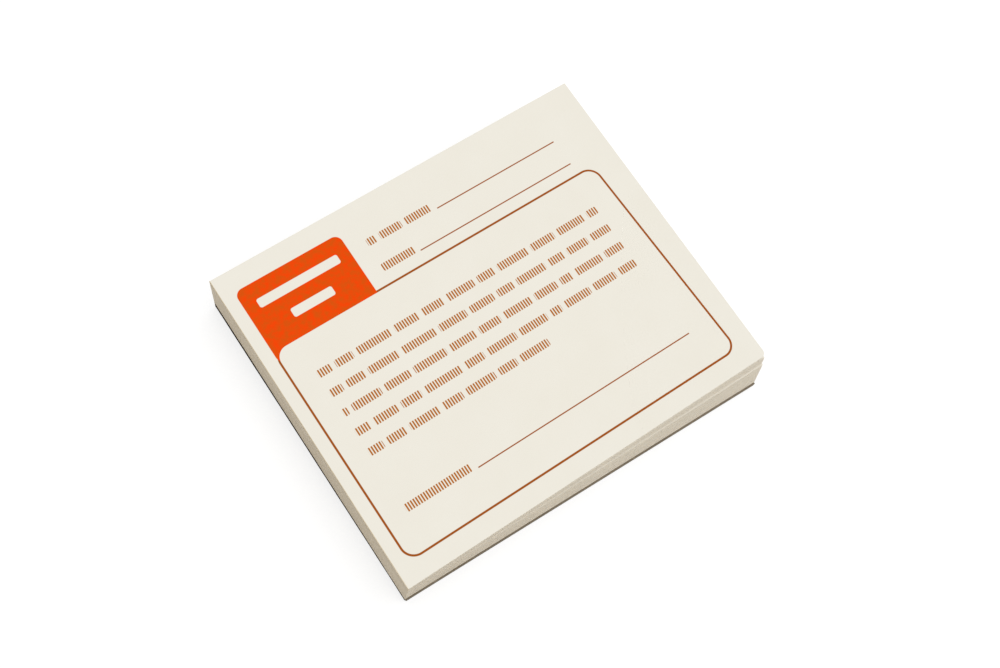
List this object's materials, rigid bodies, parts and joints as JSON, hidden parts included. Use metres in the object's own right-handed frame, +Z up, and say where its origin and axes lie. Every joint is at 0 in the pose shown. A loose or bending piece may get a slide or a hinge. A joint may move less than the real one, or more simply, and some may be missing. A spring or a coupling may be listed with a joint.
{
  "type": "ticket pad",
  "caption": "Pad of printed paper tickets gummed along one edge on a greyboard back; the top tickets and thick sections of the block turn up on the gummed edge.",
  "frame": {"origin": "middle of the underside of the pad", "axes": "+X from the gummed edge to the free edge, +Y from the foot of the tickets to the head, +Z up through the stack"},
  "size_m": [0.0762, 0.0658, 0.0128],
  "materials": {
    "paper": "uncoated, matte, one-colour print",
    "greyboard": "raw, matte",
    "gum": "dried padding compound, satin"
  },
  "bodies": {
    "pad_base": {"backing_board": "greyboard", "board_gum": "gum"},
    "lower_section": {"lower_tickets_1": "paper", "lower_tickets_2": "paper", "lower_tickets_3": "paper", "lower_gum": "gum"},
    "middle_section": {"middle_tickets_1": "paper", "middle_tickets_2": "paper", "middle_tickets_3": "paper", "middle_gum": "gum"},
    "upper_section": {"upper_tickets_1": "paper", "upper_tickets_2": "paper", "upper_tickets_3": "paper", "upper_gum": "gum"},
    "ticket_10_leaf": {"ticket_10": "paper", "ticket_gum_10": "gum"},
    "ticket_09_leaf": {"ticket_09": "paper", "ticket_gum_09": "gum"},
    "ticket_08_leaf": {"ticket_08": "paper", "ticket_gum_08": "gum"},
    "ticket_07_leaf": {"ticket_07": "paper", "ticket_gum_07": "gum"},
    "ticket_06_leaf": {"ticket_06": "paper", "ticket_gum_06": "gum"},
    "ticket_05_leaf": {"ticket_05": "paper", "ticket_gum_05": "gum"},
    "ticket_04_leaf": {"ticket_04": "paper", "ticket_gum_04": "gum"},
    "ticket_03_leaf": {"ticket_03": "paper", "ticket_gum_03": "gum"},
    "ticket_02_leaf": {"ticket_02": "paper", "ticket_gum_02": "gum"},
    "ticket_01_leaf": {"ticket_01": "paper", "ticket_gum_01": "gum"}
  },
  "joints": [
    {"name": "lower_section_lift", "type": "hinge", "parent": "pad_base", "child": "lower_section", "pos_m": [-0.03806, 0, 0.0012], "axis": [0, -1, 0], "range_deg": [0, 11]},
    {"name": "middle_section_lift", "type": "hinge", "parent": "lower_section", "child": "middle_section", "pos_m": [-0.03806, 0, 0.00468], "axis": [0, -1, 0], "range_deg": [0, 11]},
    {"name": "upper_section_lift", "type": "hinge", "parent": "middle_section", "child": "upper_section", "pos_m": [-0.03806, 0, 0.00816], "axis": [0, -1, 0], "range_deg": [0, 11]},
    {"name": "ticket_10_turn", "type": "hinge", "parent": "upper_section", "child": "ticket_10_leaf", "pos_m": [-0.03806, 0, 0.01164], "axis": [0, -1, 0], "range_deg": [0, 3]},
    {"name": "ticket_09_turn", "type": "hinge", "parent": "ticket_10_leaf", "child": "ticket_09_leaf", "pos_m": [-0.03806, 0, 0.01176], "axis": [0, -1, 0], "range_deg": [0, 3]},
    {"name": "ticket_08_turn", "type": "hinge", "parent": "ticket_09_leaf", "child": "ticket_08_leaf", "pos_m": [-0.03806, 0, 0.01187], "axis": [0, -1, 0], "range_deg": [0, 3]},
    {"name": "ticket_07_turn", "type": "hinge", "parent": "ticket_08_leaf", "child": "ticket_07_leaf", "pos_m": [-0.03806, 0, 0.01199], "axis": [0, -1, 0], "range_deg": [0, 3]},
    {"name": "ticket_06_turn", "type": "hinge", "parent": "ticket_07_leaf", "child": "ticket_06_leaf", "pos_m": [-0.03806, 0, 0.0121], "axis": [0, -1, 0], "range_deg": [0, 3]},
    {"name": "ticket_05_turn", "type": "hinge", "parent": "ticket_06_leaf", "child": "ticket_05_leaf", "pos_m": [-0.03806, 0, 0.01222], "axis": [0, -1, 0], "range_deg": [0, 3]},
    {"name": "ticket_04_turn", "type": "hinge", "parent": "ticket_05_leaf", "child": "ticket_04_leaf", "pos_m": [-0.03806, 0, 0.01234], "axis": [0, -1, 0], "range_deg": [0, 3]},
    {"name": "ticket_03_turn", "type": "hinge", "parent": "ticket_04_leaf", "child": "ticket_03_leaf", "pos_m": [-0.03806, 0, 0.01245], "axis": [0, -1, 0], "range_deg": [0, 3]},
    {"name": "ticket_02_turn", "type": "hinge", "parent": "ticket_03_leaf", "child": "ticket_02_leaf", "pos_m": [-0.03806, 0, 0.01257], "axis": [0, -1, 0], "range_deg": [0, 3]},
    {"name": "ticket_01_turn", "type": "hinge", "parent": "ticket_02_leaf", "child": "ticket_01_leaf", "pos_m": [-0.03806, 0, 0.01268], "axis": [0, -1, 0], "range_deg": [0, 110]}
  ]
}
